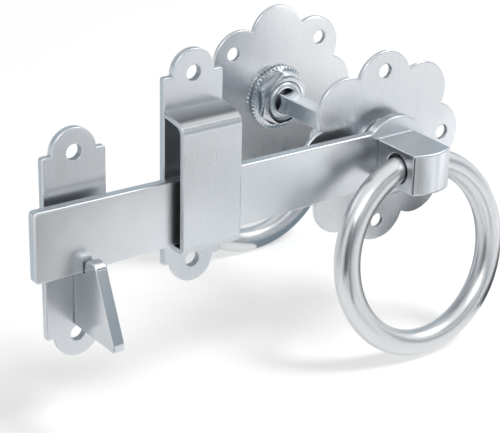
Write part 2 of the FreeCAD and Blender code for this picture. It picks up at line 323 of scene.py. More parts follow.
def turned_skin(section: np.ndarray, steps: int = ROUND_STEPS) -> Skin:
    """A turned piece: a closed section of radius and place along the spindle, carried round the axis."""
    angle = np.linspace(0.0, 2.0 * np.pi, steps, endpoint=False)
    radius, place = section[:, 0][:, None], section[:, 1][:, None]
    points = np.stack([radius * np.cos(angle), place + 0.0 * angle, radius * np.sin(angle)], axis=-1)
    skin = Skin()
    skin.grid(points, close_rows=True, close_columns=True)
    return skin


@dataclass(frozen=True)
class SteelFinish:
    """A zinc-plated steel finish: brushed lines along one axis, with slow clouding in tone and gloss, and
    painted shade on marked points.
    """

    slot: str
    colour: tuple[float, float, float]
    roughness: float
    grain: Grain
    grain_strength: float
    cloud: float = 0.06
    grain_width: float = 0.00045
    grain_length: float = 0.016
    cloud_size: float = 0.022
    wave: float = 0.10
    # How far the colour falls at marked points, as painted shade.
    painted_shade_depth: float = 0.45
    cut_roughness: float = 0.62
    line_detail: float = 3.0
    line_breakup: float = 0.65
    line_bump: float = 0.15
    line_height: float = 0.3
    cloud_detail: float = 2.0
    wave_height: float = 0.1
    streak_share: float = 0.5
    noise_span: tuple[float, float] = (0.25, 0.75)

    def material(self) -> bpy.types.Material:
        """Builds the finish's nodes: a metal with its own colour, roughness and relief.

        Returns:
            The material, under its slot's name.
        """
        material = bpy.data.materials.new(self.slot)
        material.use_nodes = True
        tree = material.node_tree
        shader = tree.nodes["Principled BSDF"]
        shader.inputs["Metallic"].default_value = 1.0
        lines, clouds = self.noises(tree)
        tree.links.new(self.tone(tree, lines, clouds), shader.inputs["Base Color"])
        tree.links.new(self.gloss(tree, lines), shader.inputs["Roughness"])
        tree.links.new(self.relief(tree, lines, clouds), shader.inputs["Normal"])
        return material

    def noises(self, tree: bpy.types.NodeTree) -> tuple[bpy.types.NodeSocket, bpy.types.NodeSocket]:
        """Adds two noises on the piece's own axes: stretched for the brushed lines, slow for the clouding.

        Args:
            tree: the material's nodes.

        Returns:
            The lines and the clouds.
        """
        place = tree.nodes.new("ShaderNodeTexCoord").outputs["Object"]
        stretch = tree.nodes.new("ShaderNodeMapping")
        scale = np.full(3, 1.0 / self.grain_width)
        scale[self.grain.value] = 1.0 / self.grain_length
        stretch.inputs["Scale"].default_value = scale
        tree.links.new(place, stretch.inputs["Vector"])
        lines = tree.nodes.new("ShaderNodeTexNoise")
        lines.inputs["Scale"].default_value = 1.0
        lines.inputs["Detail"].default_value = self.line_detail
        lines.inputs["Roughness"].default_value = self.line_breakup
        tree.links.new(stretch.outputs["Vector"], lines.inputs["Vector"])
        clouds = tree.nodes.new("ShaderNodeTexNoise")
        clouds.inputs["Scale"].default_value = 1.0 / self.cloud_size
        clouds.inputs["Detail"].default_value = self.cloud_detail
        tree.links.new(place, clouds.inputs["Vector"])
        return lines.outputs["Fac"], clouds.outputs["Fac"]

    def spread(self, tree: bpy.types.NodeTree, noise: bpy.types.NodeSocket, low: float,
               high: float) -> bpy.types.NodeSocket:
        """Maps the middle of a noise's range to the range between two values.

        Args:
            tree: the material's nodes.
            noise: the noise.
            low: the value where the noise is low.
            high: the value where the noise is high.

        Returns:
            The mapped value.
        """
        ranged = tree.nodes.new("ShaderNodeMapRange")
        for name, value in zip(("From Min", "From Max", "To Min", "To Max"), (*self.noise_span, low, high)):
            ranged.inputs[name].default_value = value
        tree.links.new(noise, ranged.inputs["Value"])
        return ranged.outputs["Result"]

    def tone(self, tree: bpy.types.NodeTree, lines: bpy.types.NodeSocket,
             clouds: bpy.types.NodeSocket) -> bpy.types.NodeSocket:
        """Adds the colour: clouded, streaked along the brushed lines, and darker as painted shade where a
        point is marked.

        Points inside holes and inside folds are marked, and their darker colour is painted shade for the
        shade that falls there.

        Args:
            tree: the material's nodes.
            lines: the noise of the brushed lines.
            clouds: the noise of the clouding.

        Returns:
            The colour.
        """
        clouded = tree.nodes.new("ShaderNodeMix")
        clouded.data_type = "RGBA"
        clouded.inputs["A"].default_value = (*np.multiply(self.colour, 1.0 - self.cloud), 1.0)
        lighter = np.minimum(np.multiply(self.colour, 1.0 + self.cloud), 1.0)
        clouded.inputs["B"].default_value = (*lighter, 1.0)
        tree.links.new(clouds, clouded.inputs["Factor"])
        streaked = tree.nodes.new("ShaderNodeMix")
        streaked.data_type = "RGBA"
        streaked.blend_type = "MULTIPLY"
        streaked.inputs["Factor"].default_value = 1.0
        streak = self.spread(tree, lines, 1.0 - self.streak_share * self.grain_strength, 1.0)
        tree.links.new(clouded.outputs["Result"], streaked.inputs["A"])
        tree.links.new(streak, streaked.inputs["B"])
        # Painted shade: the marked points get their colour darkened by a share of it.
        painted_shade = tree.nodes.new("ShaderNodeAttribute")
        painted_shade.attribute_name = PAINTED_SHADE_MARK
        painted_shaded = tree.nodes.new("ShaderNodeMix")
        painted_shaded.data_type = "RGBA"
        painted_shaded.inputs["B"].default_value = (*np.multiply(self.colour, 1.0 - self.painted_shade_depth), 1.0)
        tree.links.new(painted_shade.outputs["Fac"], painted_shaded.inputs["Factor"])
        tree.links.new(streaked.outputs["Result"], painted_shaded.inputs["A"])
        return painted_shaded.outputs["Result"]

    def gloss(self, tree: bpy.types.NodeTree, lines: bpy.types.NodeSocket) -> bpy.types.NodeSocket:
        """Adds the roughness: it varies with the brushed lines, and points marked as cut have their own.

        Args:
            tree: the material's nodes.
            lines: the noise of the brushed lines.

        Returns:
            The roughness.
        """
        brushed = self.spread(tree, lines, self.roughness * (1.0 - self.grain_strength),
                              self.roughness * (1.0 + self.grain_strength))
        cut = tree.nodes.new("ShaderNodeAttribute")
        cut.attribute_name = CUT
        sawn = tree.nodes.new("ShaderNodeMix")
        sawn.inputs["B"].default_value = self.cut_roughness
        tree.links.new(cut.outputs["Fac"], sawn.inputs["Factor"])
        tree.links.new(brushed, sawn.inputs["A"])
        return sawn.outputs["Result"]

    def relief(self, tree: bpy.types.NodeTree, lines: bpy.types.NodeSocket,
               clouds: bpy.types.NodeSocket) -> bpy.types.NodeSocket:
        """Adds the bump: waves as high as a share of the clouds' size, then lines by a share of their width.

        Args:
            tree: the material's nodes.
            lines: the noise of the brushed lines.
            clouds: the noise of the clouding.

        Returns:
            The bumped normal.
        """
        waves = tree.nodes.new("ShaderNodeBump")
        waves.inputs["Strength"].default_value = self.wave
        waves.inputs["Distance"].default_value = self.wave_height * self.cloud_size
        tree.links.new(clouds, waves.inputs["Height"])
        brushed = tree.nodes.new("ShaderNodeBump")
        brushed.inputs["Strength"].default_value = self.line_bump * self.grain_strength
        brushed.inputs["Distance"].default_value = self.line_height * self.grain_width
        tree.links.new(lines, brushed.inputs["Height"])
        tree.links.new(waves.outputs["Normal"], brushed.inputs["Normal"])
        return brushed.outputs["Normal"]


ROSE_SHEET = SteelFinish("rose_sheet", (0.684, 0.704, 0.727), 0.28, Grain.UPRIGHT, 0.05)
PLATE_STEEL = SteelFinish("plate_steel", (0.658, 0.686, 0.715), 0.32, Grain.UPRIGHT, 0.14)
# The inside of the strap's fold gets a deeper painted shade.
STRAP_SHEET = SteelFinish("strap_sheet", (0.656, 0.682, 0.708), 0.30, Grain.UPRIGHT, 0.16, painted_shade_depth=0.66)
HOOK_STEEL = SteelFinish("hook_steel", (0.665, 0.694, 0.720), 0.22, Grain.UPRIGHT, 0.03, wave=0.04)
BAR_STEEL = SteelFinish("bar_steel", (0.686, 0.710, 0.734), 0.29, Grain.LEVEL, 0.06)
HUB_STEEL = SteelFinish("hub_steel", (0.650, 0.678, 0.706), 0.28, Grain.UPRIGHT, 0.05)
TURNED_STEEL = SteelFinish("turned_steel", (0.600, 0.628, 0.655), 0.11, Grain.THROUGH, 0.03, cloud=0.02,
                           wave=0.02)
SPINDLE_STEEL = SteelFinish("spindle_steel", (0.780, 0.800, 0.820), 0.20, Grain.THROUGH, 0.05, cloud=0.03,
                            wave=0.03)
RING_STEEL = SteelFinish("ring_steel", (0.690, 0.704, 0.716), 0.31, Grain.LEVEL, 0.05, cloud=0.03, wave=0.03)
FINISHES = (ROSE_SHEET, PLATE_STEEL, STRAP_SHEET, HOOK_STEEL, BAR_STEEL, HUB_STEEL, TURNED_STEEL,
            SPINDLE_STEEL, RING_STEEL)


class Workshop:
    """Keeps the finished materials and hands each piece over to its body."""

    def __init__(self) -> None:
        """Builds every finish once."""
        self.materials = {finish.slot: finish.material() for finish in FINISHES}

    def hand_over(self, piece: bpy.types.Object, finish: SteelFinish, body: str, node: str) -> None:
        """Dresses a piece and puts it in its solid's place.

        Args:
            piece: the piece's object.
            finish: the finish that it gets.
            body: the body that it moves with.
            node: the solid that it stands for.
        """
        piece.data.materials.append(self.materials[finish.slot])
        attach(piece, body)
        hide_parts(node)
        LOG.info("%s on %s, %d faces", piece.name, body, len(piece.data.polygons))


class LatchPiece(ABC):
    """A piece that stands in its solid's place, with the body that it rides on and its finish."""

    node: str
    body: str
    finish: SteelFinish

    @abstractmethod
    def build(self) -> bpy.types.Object:
        """Makes the piece's object."""

    def dress(self, workshop: Workshop) -> None:
        """Builds the piece and hands it over."""
        workshop.hand_over(self.build(), self.finish, self.body, self.node)


def mark(mesh: bpy.types.Mesh, name: str, marked: np.ndarray) -> None:
    """Marks the points of a mesh that a finish treats in its own way, under a name such as painted_shade for
    painted shade or cut.
    """
    marks = mesh.attributes.new(name, "FLOAT", "POINT")
    marks.data.foreach_set("value", marked.astype(np.float32))


def point_places(mesh: bpy.types.Mesh) -> np.ndarray:
    """The places of a mesh's points, one row each."""
    places = np.empty(3 * len(mesh.vertices), dtype=np.float32)
    mesh.vertices.foreach_get("co", places)
    return places.reshape(-1, 3)


def shade_hole_walls(mesh: bpy.types.Mesh, holes: list[np.ndarray], span: tuple[float, float],
                    edge: float) -> None:
    """Marks the walls of a plate's round holes for painted shade, up to the middle of their rounded edges.

    Args:
        mesh: the plate's mesh, which faces the front.
        holes: the loops of its holes.
        span: where the plate starts and ends along its thickness.
        edge: the radius of the holes' edges.
    """
    places = point_places(mesh)
    centres = np.array([hole.mean(axis=0) for hole in holes])
    reaches = np.array([np.linalg.norm(hole - hole.mean(axis=0), axis=1).max() for hole in holes])
    away = np.linalg.norm(places[:, None, [0, 2]] - centres[None], axis=2)
    deep = (places[:, 1] > span[0] + 0.5 * edge) & (places[:, 1] < span[1] - 0.5 * edge)
    mark(mesh, PAINTED_SHADE_MARK, deep & (away < reaches + edge).any(axis=1))


def corner_box(node: str) -> tuple[np.ndarray, np.ndarray]:
    """A solid's lowest and highest corners as arrays."""
    low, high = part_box(node)
    return np.array(low), np.array(high)


def pivot(joint: str) -> np.ndarray:
    """The place of a joint's axis in the record."""
    for row in frame["record"]["behaviour"]["joints"]:
        if row["name"] == joint:
            return np.array(row["pos_m"], dtype=float)
    raise KeyError(joint)


@dataclass
class ScallopedRose(LatchPiece):
    """A sheet disc with eight round petals, four screw holes and a centre hole for the hub's stem."""

    node: str
    screw_turn: float
    petals: int = 8
    notch_depth: float = 0.0068
    screw_circle: float = 0.0317
    screw_radius: float = 0.003
    centre_radius: float = 0.008465
    edge: float = 0.0006
    hole_edge: float = 0.0003
    petal_steps: int = 22
    screws: int = 4
    body: str = "gate_plates"
    finish: SteelFinish = ROSE_SHEET

    def outline(self, tip: float) -> np.ndarray:
        """Each petal is an arc from notch to notch through its tip, and all petals are turns of the first.

        With s as half of a petal's angle, the arc through the notches at n(cos s, +-sin s) and the tip at t
        has its centre on the petal's middle line at (t^2 - n^2) / (2 (t - n cos s)).

        Args:
            tip: the radius at the petals' tips.

        Returns:
            The closed loop of points.
        """
        notch = tip - self.notch_depth
        half = np.pi / self.petals
        centre = (tip**2 - notch**2) / (2.0 * (tip - notch * np.cos(half)))
        reach = np.degrees(np.arctan2(notch * np.sin(half), notch * np.cos(half) - centre))
        petal = arc((centre, 0.0), tip - centre, -reach, reach, self.petal_steps)[:-1]
        turns = 2.0 * half * np.arange(self.petals)
        turn = np.stack([np.stack([np.cos(turns), -np.sin(turns)], -1),
                         np.stack([np.sin(turns), np.cos(turns)], -1)], -2)
        return np.einsum("pij,sj->psi", turn, petal).reshape(-1, 2)

    def build(self) -> bpy.types.Object:
        """Makes the rose between its solid's two faces."""
        low, high = corner_box(self.node)
        tip = (high[0] - low[0]) / 2.0
        angles = np.radians(self.screw_turn + 360.0 / self.screws * np.arange(self.screws))
        places = self.screw_circle * np.column_stack([np.cos(angles), np.sin(angles)])
        holes = [circle(tuple(place), self.screw_radius) for place in places]
        holes.append(circle((0.0, 0.0), self.centre_radius, ROUND_STEPS))
        skin = flat_skin(self.outline(tip), holes, (low[1], high[1]), Facing.FRONT,
                         (self.edge, self.edge), (self.hole_edge, self.hole_edge))
        rose = skin.piece("scalloped_" + self.node)
        shade_hole_walls(rose.data, holes, (low[1], high[1]), self.hole_edge)
        return rose


@dataclass
class ScrewPlate(LatchPiece):
    """A strip with square shoulders and a round lug with a screw hole at each end."""

    node: str
    lug_radius: float = 0.009
    screw_radius: float = 0.003
    corner: float = 0.001
    edge: float = 0.0006
    hole_edge: float = 0.0003
    lug_steps: int = 48
    body: str = "gate_plates"
    finish: SteelFinish = PLATE_STEEL

    def build(self) -> bpy.types.Object:
        """Makes the plate: shoulders and lug arcs in one loop round the two screws."""
        low, high = corner_box(self.node)
        middle = (low + high) / 2.0
        half_width = (high[0] - low[0]) / 2.0
        screw = (high[2] - low[2]) / 2.0 - self.lug_radius
        across, up = half_width - self.corner, screw - self.corner
        upper = np.vstack([arc((across, up), self.corner, 0.0, 90.0, QUARTER_STEPS),
                           arc((0.0, screw), self.lug_radius, 0.0, 180.0, self.lug_steps),
                           arc((-across, up), self.corner, 90.0, 180.0, QUARTER_STEPS)])
        outline = np.vstack([upper, -upper]) + (middle[0], middle[2])
        holes = [circle((middle[0], middle[2] + side * screw), self.screw_radius) for side in (-1.0, 1.0)]
        skin = flat_skin(outline, holes, (low[1], high[1]), Facing.FRONT, (self.edge, self.edge),
                         (self.hole_edge, self.hole_edge))
        plate = skin.piece("lugged_" + self.node)
        shade_hole_walls(plate.data, holes, (low[1], high[1]), self.hole_edge)
        return plate


@dataclass
class GuideStrap(LatchPiece):
    """A strip folded over the bar, with a sloping roof, a tight lower bend and bare cut sides."""

    node: str = "guide_strap"
    thickness: float = 0.0022
    roof_fall: float = 0.0015
    roof_bend: float = 0.005
    floor_bend: float = 0.0026
    seat_corner: float = 0.00015
    edge: float = 0.0005
    body: str = "gate_plates"
    finish: SteelFinish = STRAP_SHEET

    def build(self) -> bpy.types.Object:
        """Makes the strap: outer and inner folds in one side outline, carried across its width."""
        low, high = corner_box(self.node)
        front, back, floor, roof = low[1], high[1], low[2], high[2]
        depth = back - front
        slope = self.roof_fall / (depth - self.thickness)
        wall = self.thickness
        inner_front = front + wall
        corners = np.array([
            (back, roof), (front, roof - slope * depth), (front, floor), (back, floor), (back, floor + wall),
            (inner_front, floor + wall), (inner_front, roof - wall - slope * (back - inner_front)),
            (back, roof - wall)])
        radii = np.array([self.seat_corner, self.roof_bend, self.floor_bend, self.seat_corner,
                          self.seat_corner, self.floor_bend - wall, self.roof_bend - wall, self.seat_corner])
        outline = rounded_polygon(corners, radii, BEND_STEPS)
        skin = flat_skin(outline, [], (low[0], high[0]), Facing.SIDE, (self.edge, self.edge), (0.0, 0.0))
        strap = skin.piece("folded_strap")
        self.mark_surfaces(strap.data, low, high)
        return strap

    def mark_surfaces(self, mesh: bpy.types.Mesh, low: np.ndarray, high: np.ndarray) -> None:
        """Marks the points inside the fold for painted shade and those on the strip's two sides as cut.

        Args:
            mesh: the strap's mesh.
            low: the strap's lowest corner.
            high: the strap's highest corner.
        """
        places = point_places(mesh)
        margin = np.array([self.edge, self.thickness, self.thickness]) / 2.0
        within = (places > low + margin) & (places < high - margin)
        within[:, 1] = places[:, 1] > low[1] + margin[1]
        mark(mesh, PAINTED_SHADE_MARK, within.all(axis=1))
        mark(mesh, CUT, (places[:, 0] < low[0] + CUT_MARGIN) | (places[:, 0] > high[0] - CUT_MARGIN))


@dataclass
class CatchHook(LatchPiece):
    """An upright fin on the catch plate: a seat for the bar, a horn before it and a sloped nose."""

    node: str = "catch_hook"
    horn_width: float = 0.0072
    horn_rise: float = 0.006
    horn_round: float = 0.0033
    nose_height: float = 0.003
    nose_run: float = 0.0117
    nose_round: float = 0.0008
    seat_round: float = 0.0006
    corner: float = 0.0002
    edge: float = 0.0005
    body: str = "gate_plates"
    finish: SteelFinish = HOOK_STEEL

    def build(self) -> bpy.types.Object:
        """Makes the hook from its side outline, carried across its thickness."""
        low, high = corner_box(self.node)
        nose, back, bottom, horn_top = low[1], high[1], low[2], high[2]
        horn_front = nose + self.nose_run
        horn_back = horn_front + self.horn_width
        corners = np.array([
            (back, horn_top - self.horn_rise), (horn_back, horn_top - self.horn_rise), (horn_back, horn_top),
            (horn_front, horn_top), (nose, bottom + self.nose_height), (nose, bottom), (back, bottom)])
        radii = np.array([self.corner, self.seat_round, self.horn_round, self.horn_round, self.nose_round,
                          self.nose_round, self.corner])
        outline = rounded_polygon(corners, radii, BEND_STEPS)
        skin = flat_skin(outline, [], (low[0], high[0]), Facing.SIDE, (self.edge, self.edge), (0.0, 0.0))
        return skin.piece("hooked_catch")


@dataclass
class LatchBar(LatchPiece):
    """A flat bar that widens towards its tip, with a round eye on the spindle's axis."""

    node: str = "latch_bar"
    axis_drop: float = 0.0008
    tip_height: float = 0.027
    root_height: float = 0.0225
    eye_blend: float = 0.004
    tip_corner: float = 0.0016
    tip_run: float = 0.0064
    neck_radius: float = 0.008265
    neck_flat: float = 0.007065
    edge: float = 0.0007
    back_edge: float = 0.00035
    hole_edge: float = 0.0002
    corner_steps: int = 8
    blend_steps: int = 12
    crown_steps: int = 40
    body: str = "latch"
    finish: SteelFinish = BAR_STEEL

    def outline(self, length: float, eye: float) -> np.ndarray:
        """Half of the outline is the tip's corner, the blend arc and half of the eye, then it is mirrored.

        The blend arc touches the bar's edge and the eye: its centre lies the blend radius off the edge's line
        and the eye's radius plus the blend's from the eye's centre.

        Args:
            length: the distance from the eye's centre to the tip.
            eye: the eye's radius.

        Returns:
            The closed loop of points, round the eye's centre.
        """
        tip = np.array([-length, self.tip_height / 2.0])
        along = np.array([length, (self.root_height - self.tip_height) / 2.0])
        along = along / np.linalg.norm(along)
        off = np.array([-along[1], along[0]])
        start = tip + self.eye_blend * off
        reach = -start @ along - np.sqrt((start @ along) ** 2 - start @ start + (eye + self.eye_blend) ** 2)
        centre = start + reach * along
        touch = np.degrees(np.arctan2(-off[1], -off[0]))
        meet = np.degrees(np.arctan2(-centre[1], -centre[0]))
        fall = np.degrees(np.arctan2(centre[1], centre[0]))
        end = np.array([tip * (1.0, 0.0), tip, tip + self.tip_run * along])
        steps = self.corner_steps
        corner = rounded_polygon(end, np.full(3, self.tip_corner), steps)[steps:2 * steps]
        blend = arc(tuple(centre), self.eye_blend, touch % 360.0, meet % 360.0, self.blend_steps)
        crown = arc((0.0, 0.0), eye, fall, 0.0, self.crown_steps)
        upper = np.vstack([corner, blend[:-1], crown])
        return np.vstack([upper, (upper * (1.0, -1.0))[-2::-1]])

    def build(self) -> bpy.types.Object:
        """Makes the bar, with its eye's hole cut for the hub's keyed neck."""
        low, high = corner_box(self.node)
        middle = np.array([0.0, -self.axis_drop])
        outline = self.outline(-low[0], high[0]) + middle
        hole = turned_square(self.neck_radius, self.neck_flat)
        skin = flat_skin(outline, [hole], (low[1], high[1]), Facing.FRONT, (self.edge, self.back_edge),
                         (self.hole_edge, self.hole_edge))
        return skin.piece("flat_latch_bar")


@dataclass
class RingHub(LatchPiece):
    """A block with a bowed nose and a cross hole for the ring, on a threaded stem with a square socket."""

    node: str
    side: float
    seat: float
    ring_joint: str
    neck_length: float
    wall: float = 0.0023
    bulge: float = 0.0024
    edge: float = 0.0008
    hole_edge: float = 0.0006
    nose_corner: float = 0.0008
    stem_radius: float = 0.008165
    neck_flat: float = 0.006965
    thread_pitch: float = 0.00125
    thread_depth: float = 0.0003
    thread_start: float = 0.0001
    bore_radius: float = 0.005465
    bore_depth: float = 0.004
    socket: float = 0.0083
    socket_margin: float = 0.0001
    socket_end: float = 0.3
    lip: float = 0.0007
    sink: float = 0.0006
    across_steps: int = 17
    hole_steps: int = 64
    pitch_steps: int = 8
    lip_steps: int = 9
    body: str = "latch"
    finish: SteelFinish = HUB_STEEL

    def block(self) -> Skin:
        """The block: its side outline carried across its width, with the nose bowed out as a parabola.

        At a place x across a half width w, each point of the outline moves outwards by the bulge times
        (1 - (x / w)^2), times its share of the way from the seat to the nose.

        Returns:
            The block's closed skin.
        """
        low, high = corner_box(self.node)
        half = (high[0] - low[0]) / 2.0
        height = (high[2] - low[2]) / 2.0
        nose = (low[1] if self.side < 0.0 else high[1]) - self.side * self.bulge
        depth = abs(nose - self.seat)
        corners = np.array([(self.seat, -height), (nose, -height), (nose, height), (self.seat, height)])
        outline = wound(rounded_polygon(corners, np.full(4, self.nose_corner)))
        ring = pivot(self.ring_joint)
        hole = wound(circle((ring[1], ring[2]), height - self.wall, self.hole_steps), True)
        angle = np.linspace(0.0, np.pi / 2.0, QUARTER_STEPS)
        middle = np.linspace(self.edge - half, half - self.edge, self.across_steps)
        across = np.concatenate([-half + self.edge * (1.0 - np.cos(angle[:-1])), middle,
                                 half - self.edge * (1.0 - np.cos(angle[-2::-1]))])
        quarter = 1.0 - np.sin(angle[:-1])
        inset = np.concatenate([quarter, np.zeros(self.across_steps), quarter[::-1]])
        skin = Skin()
        outer = laid(outline + (self.edge * inset)[:, None, None] * inward(outline), across, Facing.SIDE)
        share = np.clip((outer[..., 1] - self.seat) * self.side / depth, 0.0, 1.0)
        outer[..., 1] += self.side * self.bulge * share * (1.0 - (outer[..., 0] / half) ** 2)
        mouth = np.concatenate([-half + self.hole_edge * (1.0 - np.cos(angle)),
                                half - self.hole_edge * (1.0 - np.cos(angle[::-1]))])
        flare = self.hole_edge * np.concatenate([1.0 - np.sin(angle), 1.0 - np.sin(angle[::-1])])
        inner = laid(hole + flare[:, None, None] * inward(hole), mouth, Facing.SIDE)
        skin.grid(outer, close_columns=True)
        skin.grid(inner, close_columns=True)
        skin.cap([outer[0], inner[0]])
        skin.cap([outer[-1], inner[-1]])
        return skin

    def stem(self, skin: Skin) -> None:
        """Adds the stem: a keyed neck, a helical thread, a rounded mouth and a square socket.

        The thread's radius falls from the stem's by its depth times (1 + cos p) / 2, with p as the turn minus
        the place along the axis in pitches. Beyond the mouth's lip the loops pass from the round bore to the
        square socket, which ends at a share of the stem's length.

        Args:
            skin: the block's skin, which takes in the stem as a second closed shell.
        """
        low, high = corner_box(self.node)
        mouth = high[1] if self.side < 0.0 else low[1]
        length = abs(mouth - self.seat)
        angle = np.linspace(0.0, 2.0 * np.pi, ROUND_STEPS, endpoint=False)
        flats = np.maximum(np.abs(np.cos(angle)), np.abs(np.sin(angle)))
        neck = [(-self.sink, np.full(ROUND_STEPS, self.stem_radius))]
        if self.neck_length > 0.0:
            keyed = np.minimum(self.stem_radius, self.neck_flat / flats)
            neck = [(-self.sink, keyed), (self.neck_length, keyed)]
        places = np.arange(self.neck_length + self.thread_start, length - self.lip,
                           self.thread_pitch / self.pitch_steps)
        phase = angle[None, :] - 2.0 * np.pi * places[:, None] / self.thread_pitch
        thread = self.stem_radius - self.thread_depth * (1.0 + np.cos(phase)) / 2.0
        turn = np.linspace(0.0, np.pi, self.lip_steps)
        lip_half = (self.stem_radius - self.thread_depth - self.bore_radius) / 2.0
        lip_radius = self.bore_radius + lip_half * (1.0 + np.cos(turn))
        lip_place = length - self.lip * (1.0 - np.sin(turn))
        bore = np.full(ROUND_STEPS, self.bore_radius)
        bore_end = length - self.bore_depth
        square = np.minimum(self.socket / 2.0 / flats, self.bore_radius - self.socket_margin)
        radii = np.vstack([radius for _, radius in neck]
                          + [thread, np.tile(lip_radius[:, None], ROUND_STEPS), bore, square, square])
        along = np.concatenate([[place for place, _ in neck], places, lip_place,
                                [bore_end, bore_end, self.socket_end * length]])
        depth = np.tile((self.seat - self.side * along)[:, None], ROUND_STEPS)
        points = np.stack([radii * np.cos(angle), depth, radii * np.sin(angle)], axis=-1)
        skin.grid(points, close_columns=True)
        skin.cap([points[0]])
        skin.cap([points[-1]])

    def build(self) -> bpy.types.Object:
        """Makes the hub: the block's shell and the stem's in one piece."""
        skin = self.block()
        self.stem(skin)
        return skin.piece("bowed_" + self.node)


@dataclass
class FlangeNut(LatchPiece):
    """A thin hexagon nut on a flange whose rim is cut with fine teeth."""

    node: str
    side: float
    bore_radius: float = 0.008265
    flat_radius: float = 0.010665
    crest_radius: float = 0.014015
    flange_thickness: float = 0.0025
    tooth_depth: float = 0.00040
    tooth_flank: float = 2.4
    teeth: int = 48
    tooth_steps: int = 8
    rim_height: float = 0.0015
    rim_edge: float = 0.0003
    shoulder_step: float = 0.00025
    face_gap: float = 0.00015
    face_fall: float = 0.0001
    chamfer_angle: float = 30.0
    chamfer_share: float = 0.96
    corner_soft: float = 0.0003
    bore_edge: float = 0.0005
    body: str = "latch"
    finish: SteelFinish = TURNED_STEEL

    def build(self) -> bpy.types.Object:
        """Makes the nut from rings of points whose radius is a function of the turn.

        The hexagon's radius is the flat's over the cosine of the turn from the nearest flat, held back a
        little at the corners; the rim's radius falls from its crest as a clipped triangle wave, once for each
        tooth; the flange's face inside the teeth is a plain cone; and the chamfer lowers each corner by its
        reach past the chamfer's circle times the angle's tangent.

        Returns:
            The nut's object.
        """
        low, high = corner_box(self.node)
        height = high[1] - low[1]
        seat = low[1] if self.side > 0.0 else high[1]
        steps = self.teeth * self.tooth_steps
        angle = np.linspace(0.0, 2.0 * np.pi, steps, endpoint=False)
        sixth = np.pi / 3.0
        from_flat = np.mod(angle + sixth / 2.0, sixth) - sixth / 2.0
        corner = self.flat_radius / np.cos(sixth / 2.0) - self.corner_soft
        hexagon = np.minimum(self.flat_radius / np.cos(from_flat), corner)
        wave = np.abs(2.0 * np.mod(angle * self.teeth / (2.0 * np.pi), 1.0) - 1.0)
        rim = self.crest_radius - self.tooth_depth * np.clip(self.tooth_flank * (wave - 0.5) + 0.5, 0.0, 1.0)
        shoulder = self.crest_radius - self.tooth_depth - self.shoulder_step
        shoulder_height = self.rim_height + self.shoulder_step
        chamfer_circle = self.chamfer_share * self.flat_radius
        chamfer = np.tan(np.radians(self.chamfer_angle)) * (hexagon - chamfer_circle)
        even = np.ones(steps)
        bore = self.bore_radius * even
        wide = (self.bore_radius + self.bore_edge) * even
        rings = [
            (wide, 0.0 * even), (rim - self.rim_edge, 0.0 * even), (rim, self.rim_edge * even),
            (rim, self.rim_height * even), (shoulder * even, shoulder_height * even),
            ((corner + self.face_gap) * even, (self.flange_thickness - self.face_fall) * even),
            (hexagon, self.flange_thickness * even), (hexagon, height - chamfer),
            (chamfer_circle * even, height * even), (wide, height * even),
            (bore, (height - self.bore_edge) * even), (bore, self.bore_edge * even)]
        radius = np.array([ring[0] for ring in rings])
        along = np.array([ring[1] for ring in rings])
        points = np.stack([radius * np.cos(angle), seat + self.side * along, radius * np.sin(angle)], axis=-1)
        skin = Skin()
        skin.grid(points, close_rows=True, close_columns=True)
        return skin.piece("toothed_" + self.node)


@dataclass
class SquareSpindle(LatchPiece):
    """The square spindle through the gate, which joins the two hubs."""

    node: str = "spindle"
    corner: float = 0.0007
    end_edge: float = 0.0006
    body: str = "latch"
    finish: SteelFinish = SPINDLE_STEEL

    def build(self) -> bpy.types.Object:
        """Makes the spindle: a square with soft corners carried along the gate's thickness."""
        low, high = corner_box(self.node)
        corners = np.array([(low[0], low[2]), (high[0], low[2]), (high[0], high[2]), (low[0], high[2])])
        outline = rounded_polygon(corners, np.full(4, self.corner))
        skin = flat_skin(outline, [], (low[1], high[1]), Facing.FRONT, (self.end_edge, self.end_edge),
                         (0.0, 0.0))
        return skin.piece("square_spindle")


@dataclass
class BarSpacer(LatchPiece):
    """The turned spacer that holds the bar off the front rose."""

    node: str = "bar_spacer"
    bore: float = 0.008265
    edge: float = 0.0004
    body: str = "latch"
    finish: SteelFinish = TURNED_STEEL

    def build(self) -> bpy.types.Object:
        """Makes the spacer: a rectangle with rounded corners carried round the spindle's axis."""
        low, high = corner_box(self.node)
        corners = np.array([(self.bore, low[1]), (high[0], low[1]), (high[0], high[1]), (self.bore, high[1])])
        return turned_skin(rounded_polygon(corners, np.full(4, self.edge))).piece("turned_bar_spacer")


@dataclass
class RingHandle(LatchPiece):
    """A ring of round wire that hangs in its hub's cross hole."""

    node: str
    body: str
    wire: float = 0.0102
    round_steps: int = 160
    wire_steps: int = 36
    finish: SteelFinish = RING_STEEL

    def build(self) -> bpy.types.Object:
        """Makes the ring: the wire's circle carried round the ring's centre line, leaned with its solid.

        A point is the centre plus (R + r cos v) along the ring's radius at turn u, plus r sin v along the
        ring's axis, where the axis is tipped so that the ring passes through its hub's pivot.

        Returns:
            The ring's object.
        """
        low, high = corner_box(self.node)
        centre = (low + high) / 2.0
        hang = pivot(self.node + "_swing") - centre
        lean = np.arctan2(hang[1], hang[2])
        wire_radius = self.wire / 2.0
        line_radius = (high[0] - low[0]) / 2.0 - wire_radius
        turn = np.linspace(0.0, 2.0 * np.pi, self.round_steps, endpoint=False)[:, None]
        about = np.linspace(0.0, 2.0 * np.pi, self.wire_steps, endpoint=False)[None, :]
        reach = line_radius + wire_radius * np.cos(about)
        across = reach * np.cos(turn)
        up = reach * np.sin(turn)
        through = wire_radius * np.sin(about) + 0.0 * turn
        points = np.stack([across, through * np.cos(lean) + up * np.sin(lean),
                           up * np.cos(lean) - through * np.sin(lean)], axis=-1) + centre
        skin = Skin()
        skin.grid(points, close_rows=True, close_columns=True)
        return skin.piece("round_wire_" + self.node)


